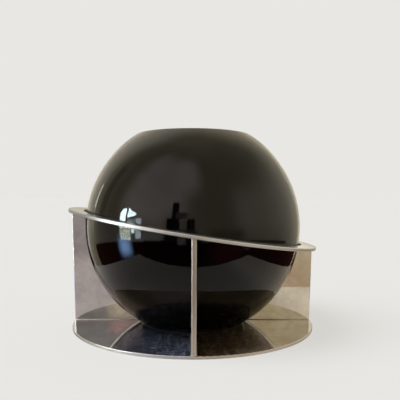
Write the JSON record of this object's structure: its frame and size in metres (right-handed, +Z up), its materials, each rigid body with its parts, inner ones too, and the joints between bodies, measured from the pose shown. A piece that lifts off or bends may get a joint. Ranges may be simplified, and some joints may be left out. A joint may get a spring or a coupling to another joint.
{
  "type": "globe vase in ring stand",
  "caption": "Smoked glass globe vase with an open top, loose in a polished metal stand: round plate, upright vanes in a cross and a tilted flat ring round the globe's equator.",
  "frame": {"origin": "middle of the plate's underside, where the object stands", "axes": "+Z up; the ring slopes down along +X; -Y is the front, where one vane is seen edge-on"},
  "size_m": [0.2322, 0.232, 0.18],
  "materials": {
    "polished_metal": "mirror-polished silver plate, faintly clouded and finely scratched",
    "smoked_glass": "smooth fire-polished, very dark olive grey"
  },
  "bodies": {
    "stand": {"base_disc": "polished_metal", "vane_right": "polished_metal", "vane_back": "polished_metal", "vane_left": "polished_metal", "vane_front": "polished_metal", "tilted_ring": "polished_metal"},
    "globe": {"glass_globe": "smoked_glass"}
  },
  "joints": [
    {"name": "globe_lift", "type": "slide", "parent": "stand", "child": "globe", "axis": [0, 0, 1], "range_m": [0, 0.13]}
  ]
}
